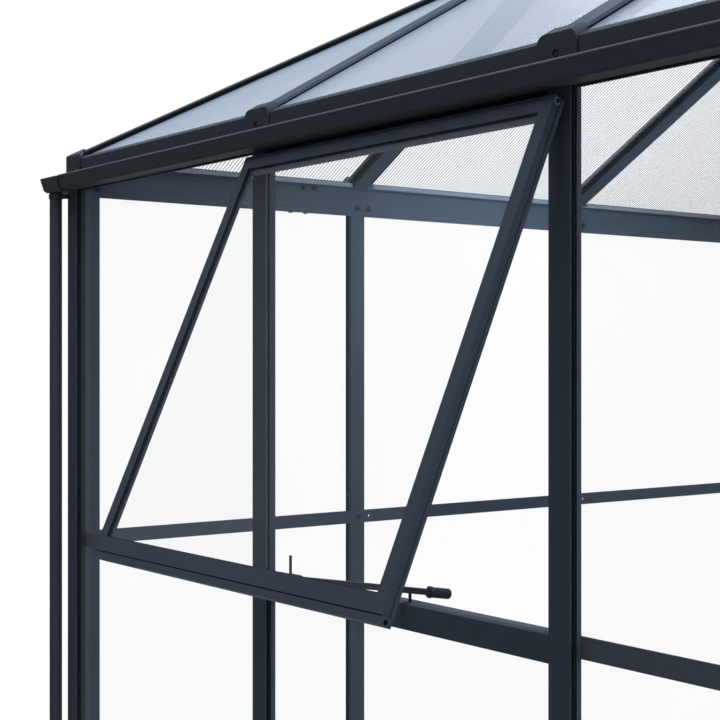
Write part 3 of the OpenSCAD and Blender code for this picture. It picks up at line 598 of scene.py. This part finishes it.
# black gaskets along the rafters, over the sheets under the cover strips and beside the bars below;
# each has its near and far side from the rafter's middle, its low and its high
rafterGasket = {"above": (0.0190, 0.0284, 0.0101, 0.0122), "below": (0.02205, 0.0355, -0.0016, -0.0001),
                "from": 0.034, "short": 0.040}


def makeRafterGaskets():
    shape = bmesh.new()
    for wall in walls:
        for x in innerStuds(wall):
            reach = min(wallSpan(wall) / 2 - abs(x), wallDepth(wall) / 2) - rafterGasket["short"]
            for near, far, low, high in (rafterGasket["above"], rafterGasket["below"]):
                outline = [(near, low), (far, low), (far, high), (near, high)]
                for side in (-1, 1):
                    rings = [[onWall(wall) @ roofPoint(x + side * dx, y, lift) for dx, lift in outline]
                             for y in (rafterGasket["from"], reach)]
                    addPrism(shape, rings[0], rings[1])
    keepPiece("rafterGaskets", shape, [rubberAndShadeFinish])


makeRafterGaskets()
print("rafter gaskets made")

# foil tape along the sheets' seat inside the eaves, and a small bracket at each rafter's foot
seat = {"y": 0.0301, "thick": 0.0006, "high": 0.0098, "soft": 0.0004}
bracket = {"from": 0.0240, "to": 0.0420, "high": 0.0080, "thick": 0.0020, "screw": 0.0330}
seatTop = roofPoint(0, seat["y"], 0).z
seatFace = seat["y"] + seat["thick"]


def makeSeatTapes():
    shape = bmesh.new()
    low = seatTop - seat["high"]
    outline = [(seat["y"], low), (seatFace, low), (seatFace, seatTop - seat["soft"]), (seat["y"], seatTop)]
    for wall in walls:
        reach = wallSpan(wall) / 2 - seatFace
        addAlongX(shape, onWall(wall), -reach, reach, outline)
    keepPiece("seatTapes", shape, [foilAndHighlightFinish])


def makeFootBrackets():
    shape = bmesh.new()
    face = seatFace + bracket["thick"]
    low = -bracket["high"]
    soft = bracket["thick"] / 3
    outline = [(seatFace, low), (face - soft, low), (face, low + soft), (face, -2 * soft),
               (face - soft, -soft), (seatFace, -soft)]
    for wall in walls:
        for x in innerStuds(wall):
            addAlongX(shape, onWall(wall) @ at(x, 0, seatTop), -bracket["to"], -bracket["from"], outline)
    keepPiece("footBrackets", shape, [framePaint])


makeSeatTapes()
makeFootBrackets()
print("seat tapes and foot brackets made")

# dark strip beside the panes on the corner posts: painted shade on the posts' side
cornerStrip = {"from": 0.0118, "to": 0.0206, "thick": 0.0008, "soft": 0.0004}


def makeCornerStrips():
    shape = bmesh.new()
    thick = cornerStrip["thick"]
    low = cornerStrip["from"]
    high = cornerStrip["to"]
    outline = [(0, low), (thick, low + cornerStrip["soft"]), (thick, high - cornerStrip["soft"]), (0, high)]
    for wall in house["windowWalls"]:
        for side in (-1, 1):
            x = -side * (wallSpan(wall) / 2 - profile["wide"])
            ends = (x, 0, profile["base"]), (x, 0, eaveZ)
            addBar(shape, onWall(wall), ends[0], ends[1], (side, 0, 0), (0, 1, 0), outline)
    keepPiece("cornerStrips", shape, [hardware])


# bead under the sash's top rail, in the light finish: a painted highlight
headBead = {"front": -0.0134, "nose": -0.0090, "back": -0.0020, "lip": 0.0015, "drop": 0.0040}


def makeHeadBeads():
    shape = bmesh.new()
    front = headBead["front"]
    back = headBead["back"]
    drop = -headBead["drop"]
    outline = [(front, 0), (front, -headBead["lip"]), (headBead["nose"], drop), (back, drop), (back, 0)]
    for wall in house["windowWalls"]:
        addAlongX(shape, inSash(wall) @ at(0, 0, -sash["topRail"]), -sashHalf, sashHalf, outline)
    keepPiece("sashHeadBeads", shape, [foilAndHighlightFinish])


makeCornerStrips()
makeHeadBeads()
print("corner strips and sash beads made")

# rolled bead along the gutters' front lips, in the light finish: a painted highlight along the lip
gutterLip = {"out": 0.041, "high": 0.0275, "radius": 0.0017, "cornerReach": 0.0365, "sides": 10}


def makeGutterBead(wall):
    shape = bmesh.new()
    reach = wallSpan(wall) / 2 - gutterLip["cornerReach"]
    steps = [(gutterLip["radius"], 0), (gutterLip["radius"], 2 * reach)]
    place = onWall(wall) @ at(-reach, gutterLip["radius"] / 2 - gutterLip["out"], eaveZ + gutterLip["high"])
    addTurned(shape, place @ alongX, steps, gutterLip["sides"])
    keepPiece(wallNames[wall] + "GutterBead", shape, [foilAndHighlightFinish], smooth=True)


for wall in walls:
    makeGutterBead(wall)
print("gutter beads made")

# screws and bolts; a form gives shares of the radius and the height
capScrew = {"radius": 0.0042, "high": 0.0018, "socket": 0.0019}
footScrew = {"radius": 0.0031, "high": 0.0014, "socket": 0.0015}
braceScrew = {"radius": 0.0055, "high": 0.0026, "socket": 0.0024}
screwForm = {"head": ((1, 0), (1, 0.45), (0.9, 0.85), (0.72, 1)), "socket": ((1, 1), (0.8, 0.3)),
             "sides": 20}
hexBolt = {"radius": 0.0062, "high": 0.0042, "sunk": 0.0001, "chamfer": 0.9, "washer": 0.0085,
           "washerHigh": 0.0010, "washerForm": ((1, 0), (1, 0.6), (0.94, 1)), "washerSides": 24}


def addScrew(shape, place, look):  # flat round head with a driver socket
    steps = [(look["radius"] * r, look["high"] * h) for r, h in screwForm["head"]]
    steps += [(look["socket"] * r, look["high"] * h) for r, h in screwForm["socket"]]
    addTurned(shape, place, steps, screwForm["sides"])


def addHexBolt(shape, place):
    washer = [(hexBolt["washer"] * r, hexBolt["washerHigh"] * h) for r, h in hexBolt["washerForm"]]
    addTurned(shape, place, washer, hexBolt["washerSides"])
    corner = hexBolt["radius"]
    low = hexBolt["washerHigh"] - hexBolt["sunk"]
    top = hexBolt["washerHigh"] + hexBolt["high"]
    chamfer = hexBolt["chamfer"]
    addTurned(shape, place, [(corner, low), (corner, top * chamfer), (corner * chamfer, top)], 6)


def makeFootScrews():
    shape = bmesh.new()
    y = seatFace + bracket["thick"]
    z = seatTop - bracket["high"] / 2
    for wall in walls:
        for x in innerStuds(wall):
            addScrew(shape, onWall(wall) @ at(x - bracket["screw"], y, z) @ inward, footScrew)
    keepPiece("footScrews", shape, [boltSteel], smooth=True)


# washer and screw on the sash's pivots; the washer is in the light finish, a painted highlight of its rim
pivot = {"across": -0.013, "down": 0.007, "pin": 0.0035, "washer": 0.0055, "thick": 0.0009,
         "proud": 0.00175, "sides": 28}


def pivotPlaces(proud):  # z points out of the sash's edge, proud of it
    for wall in house["windowWalls"]:
        for side in (-1, 1):
            spot = at(side * (sashWide / 2 + proud), pivot["across"], -pivot["down"])
            yield inSash(wall) @ spot @ Matrix.Rotation(side * math.pi / 2, 4, "Y")


def makePivotWashers():
    shape = bmesh.new()
    pin = pivot["pin"]
    wide = pivot["washer"]
    thick = pivot["thick"]
    steps = [(pin, 0), (wide, 0), (wide, thick / 2), (wide - thick / 2, thick), (pin, thick)]
    for place in pivotPlaces(0):
        addTurned(shape, place, steps, pivot["sides"], ring=True)
    keepPiece("pivotWashers", shape, [foilAndHighlightFinish], smooth=True)


def makePivotScrews():
    shape = bmesh.new()
    for place in pivotPlaces(pivot["proud"]):
        addScrew(shape, place, footScrew)
    keepPiece("pivotScrews", shape, [boltSteel], smooth=True)


# screws in the end caps of rafters and hips
cap = {"out": 0.007, "recess": 0.003, "top": 0.0233, "drop": 0.028, "hipIn": 0.057, "hipShare": 0.6}


def makeCapScrews():
    shape = bmesh.new()
    hipScrew = {key: value * cap["hipShare"] for key, value in capScrew.items()}
    y = cap["recess"] - cap["out"]
    z = roofPoint(0, -cap["out"], cap["top"]).z - cap["drop"]
    for wall in walls:
        corner = wallSpan(wall) / 2 - cap["hipIn"]
        for x in innerStuds(wall):
            addScrew(shape, onWall(wall) @ at(x, y, z) @ outward, capScrew)
        for x in (-corner, corner):
            addScrew(shape, onWall(wall) @ at(x, y, z) @ outward, hipScrew)
    keepPiece("capScrews", shape, [boltSteel], smooth=True)


def makeBraceScrews():
    shape = bmesh.new()
    face = profile["deep"] + profile["brace"]
    for wall in walls:
        for i in range(2, bayCount(wall) + 1):
            if not hasWindow(wall, i) and not hasDoor(wall, i):
                place = onWall(wall) @ at(studX(wall, i - 1), face, (braceTop + braceLow) / 2)
                addScrew(shape, place @ inward, braceScrew)
    keepPiece("braceScrews", shape, [boltSteel], smooth=True)


# bolts on the eave beams at posts and studs, and a splice in the end walls' beams with screws under it
beamBolt = {"rise": 0.008, "aside": 0.035, "cornerIn": 0.060, "spliceIn": (0.601, 0.633),
            "spliceRise": 0.0505, "underIn": (0.562, 0.605), "underY": 0.0225, "underDrop": 0.0118}


def makeBeamBolts():
    shape = bmesh.new()
    for wall in walls:
        half = wallSpan(wall) / 2
        places = [beamBolt["cornerIn"] - half, half - beamBolt["cornerIn"]]
        for x in innerStuds(wall):
            if hasStud(wall, x):
                places += [x, x - beamBolt["aside"]]
        for x in places:
            addHexBolt(shape, onWall(wall) @ at(x, profile["deep"], eaveZ + beamBolt["rise"]) @ inward)
        if wall % 2:
            for gap in beamBolt["spliceIn"]:
                place = onWall(wall) @ at(half - gap, profile["deep"], eaveZ + beamBolt["spliceRise"])
                addHexBolt(shape, place @ inward)
            for gap in beamBolt["underIn"]:
                place = onWall(wall) @ at(half - gap, beamBolt["underY"], eaveZ - beamBolt["underDrop"])
                addScrew(shape, place @ outward @ outward, braceScrew)  # twice outward faces down
    keepPiece("beamBolts", shape, [boltSteel])


def makeHingeScrews():
    shape = bmesh.new()
    axis = leafWide + door["gap"]
    high = door["hingeHigh"]
    for low in (leafLow + high, (leafLow + leafHigh) / 2, leafHigh - 2 * high):
        for x in (-axis, axis):
            for dx in (-door["screwOut"], door["screwOut"]):
                for share in door["screwAt"]:
                    place = onWall(house["doorWall"]) @ at(x + dx, -door["hingeThick"], low + high * share)
                    addScrew(shape, place @ outward, capScrew)
    keepPiece("hingeScrews", shape, [boltSteel], smooth=True)


makeFootScrews()
makePivotWashers()
makePivotScrews()
makeCapScrews()
makeBraceScrews()
makeBeamBolts()
makeHingeScrews()
print("screws and bolts made")

# clips that hold the downpipes to the corner posts under the gutter
pipeClip = {"out": 0.0187, "inner": 0.0134, "outer": 0.0150, "high": 0.011, "below": 0.0165, "strap": 0.012,
            "sides": 32}


def makePipeClips():
    shape = bmesh.new()
    inner = pipeClip["inner"]
    outer = pipeClip["outer"]
    high = pipeClip["high"]
    soft = (outer - inner) / 2
    steps = [(inner, 0), (outer - soft, 0), (outer, soft), (outer, high - soft), (outer - soft, high),
             (inner, high)]
    half = pipeClip["strap"] / 2
    outline = [(-half, soft), (half, soft), (half, high - soft), (-half, high - soft)]
    far = pipeClip["out"] * math.sqrt(2) + soft
    for x, y in planCorners:
        pipeX = x * (halfLong + pipeClip["out"])
        pipeY = y * (halfShort + pipeClip["out"])
        place = at(pipeX, pipeY, eaveZ - pipeClip["below"]) @ Matrix.Rotation(math.atan2(-y, -x), 4, "Z")
        addTurned(shape, place, steps, pipeClip["sides"], ring=True)
        addAlongX(shape, place, outer - soft, far, outline)
    keepPiece("pipeClips", shape, [darkPlastic], smooth=True)


makePipeClips()
print("pipe clips made")

# ribbed sleeve with a collar over the stay bar's grip; grooves are shares of the rings' pitch and depth
stay = {"side": 0.038, "rise": 0.0178, "tail": 0.034}
grip = {"radius": 0.0082, "long": 0.037, "collar": 0.0092, "collarLong": 0.004, "neck": 0.0046,
        "neckLong": 0.007, "soft": 0.0012, "plain": 0.004, "rings": 7, "ringDeep": 0.0005, "sides": 28,
        "groove": ((0, 0), (0.2, 1), (0.4, 1), (0.6, 0)), "collarFront": ((0.94, -0.0008), (1, 0.0002)),
        "end": ((1, -0.0020), (0.85, 0.0005), (0.5, 0.0012))}


def inStay(wall):  # x runs along the bar from its pin on the sash; also how far the peg is
    pin = -sashHigh + sash["drip"] + sash["bottomRail"] / 2
    startY = -profile["fit"] + pin * math.sin(sash["open"])
    startZ = eaveZ - sash["drop"] + pin * math.cos(sash["open"])
    run = math.hypot(stay["side"], profile["deep"] / 2 - startY)
    turn = math.atan2(profile["deep"] / 2 - startY, stay["side"])
    fall = math.atan2(startZ - braceTop - stay["rise"], run)
    place = onWall(wall) @ at(studX(wall, sash["bay"] - 0.5), startY, startZ)
    return place @ Matrix.Rotation(turn, 4, "Z") @ Matrix.Rotation(fall, 4, "Y"), run / math.cos(fall)


def gripSteps():  # radius and place along the bar, from the neck to the end
    radius = grip["radius"]
    collarEnd = grip["collarLong"]
    steps = [(grip["neck"], -grip["neckLong"]), (grip["neck"], -grip["soft"])]
    steps += [(grip["collar"] * r, h) for r, h in grip["collarFront"]]
    steps += [(grip["collar"], collarEnd), (radius, collarEnd + grip["soft"])]
    first = collarEnd + grip["plain"]
    pitch = (grip["long"] - grip["plain"] - first) / grip["rings"]
    for n in range(grip["rings"]):
        steps += [(radius - grip["ringDeep"] * deep, first + (n + h) * pitch) for h, deep in grip["groove"]]
    return steps + [(radius * r, grip["long"] + h) for r, h in grip["end"]]


def makeGrips():
    shape = bmesh.new()
    for wall in house["windowWalls"]:
        bar, reach = inStay(wall)
        addTurned(shape, bar @ at(reach + stay["tail"], 0, 0) @ alongX, gripSteps(), grip["sides"])
    keepPiece("gripSleeves", shape, [hardware], smooth=True)


makeGrips()
print("grips made")

# floor and light
studio = {"floor": 60.0, "below": 0.0005, "paper": 0.9, "ambient": 0.20, "tint": (0.80, 0.91, 1.0, 1.0),
          "bounce": 0.32, "glow": 0.88, "fadeFrom": 2.6, "fadeTo": 4.6}
white = (1.0, 1.0, 1.0, 1.0)
lamps = {"skyLamp": {"place": (0.6, 0.5, 6.6), "aim": (0.6, 0.5, 1.5), "size": 6.0, "power": 520,
                     "spread": 180, "colour": (0.88, 0.95, 1.0)},
         "frontSky": {"place": (-0.7, -4.0, 7.0), "aim": (-0.7, -1.9, 1.4), "size": 3.0, "power": 170,
                      "spread": 180, "colour": (0.86, 0.93, 1.0)},
         "backLamp": {"place": (-4.5, 4.5, 5.0), "aim": (0.0, 0.0, 1.6), "size": 4.0, "power": 170,
                      "spread": 180, "colour": (0.88, 0.95, 1.0)},
         "sideLamp": {"place": (6.2, 0.6, 2.6), "aim": (-1.0, 0.0, 1.5), "size": 4.0, "power": 275,
                      "spread": 180, "colour": (0.76, 0.89, 1.0)},
         "roomLamp": {"place": (1.5, 0.15, 1.95), "aim": (-1.85, -0.35, 2.0), "size": 0.7, "power": 3.4,
                      "spread": 24, "colour": (0.62, 0.82, 1.0)}}


def seenRays(start):  # 1 for rays from the camera, in reflections and through glass
    seen = start.add("LightPath", out=0)
    mirrored = start.maths("MAXIMUM", seen, seen.sibling("Is Glossy Ray"))
    return start.maths("MAXIMUM", mirrored, seen.sibling("Is Transmission Ray"))


def makeWorld():
    world = bpy.data.worlds.new("studio")
    scene.world = world
    world.use_nodes = True
    tree = world.node_tree
    back = tree.nodes["Background"]
    shown = seenRays(Wire(tree))
    feed(back, "Color", shown.blend(studio["tint"], white))
    feed(back, "Strength", shown * (1 - studio["ambient"]) + studio["ambient"])


def floorFinish():  # shows as pale paper that fades to white, and throws back less light than it shows
    material = bpy.data.materials.new("paleFloor")
    material.use_nodes = True
    tree = material.node_tree
    tree.nodes.clear()
    start = Wire(tree)
    paper = start.add("BsdfDiffuse", {}, {"Color": (studio["paper"],) * 3 + (1.0,)})
    glow = start.add("Emission", {}, {"Color": white, "Strength": 1.0})
    away = start.add("VectorMath", {"operation": "LENGTH"}, {0: start.add("TexCoord", out=3)}, 1)
    reach = {"From Min": studio["fadeFrom"], "From Max": studio["fadeTo"]}
    fade = start.add("MapRange", {}, {"Value": away, **reach, "To Min": studio["glow"], "To Max": 1.0})
    shown = start.add("MixShader", {}, {0: fade, 1: paper, 2: glow})
    dim = start.add("BsdfDiffuse", {}, {"Color": (studio["bounce"],) * 3 + (1.0,)})
    mixed = start.add("MixShader", {}, {0: seenRays(start), 1: dim, 2: shown})
    start.add("OutputMaterial", {}, {"Surface": mixed})
    return material


def makeFloor():
    shape = bmesh.new()
    bmesh.ops.create_grid(shape, x_segments=1, y_segments=1, size=studio["floor"] / 2)
    mesh = bpy.data.meshes.new("floor")
    shape.to_mesh(mesh)
    shape.free()
    mesh.materials.append(floorFinish())
    floor = bpy.data.objects.new("floor", mesh)
    floor.location.z = -studio["below"]
    scene.collection.objects.link(floor)


def makeLamp(name, look):
    data = bpy.data.lights.new(name, "AREA")
    data.shape = "SQUARE"
    data.size = look["size"]
    data.energy = look["power"]
    data.color = look["colour"]
    data.spread = math.radians(look["spread"])
    lamp = bpy.data.objects.new(name, data)
    lamp.location = look["place"]
    beam = Vector(look["aim"]) - Vector(look["place"])
    lamp.rotation_euler = beam.to_track_quat("-Z", "Y").to_euler()
    lamp.visible_camera = False
    scene.collection.objects.link(lamp)


makeWorld()
makeFloor()
for name, look in lamps.items():
    makeLamp(name, look)
print("studio set")
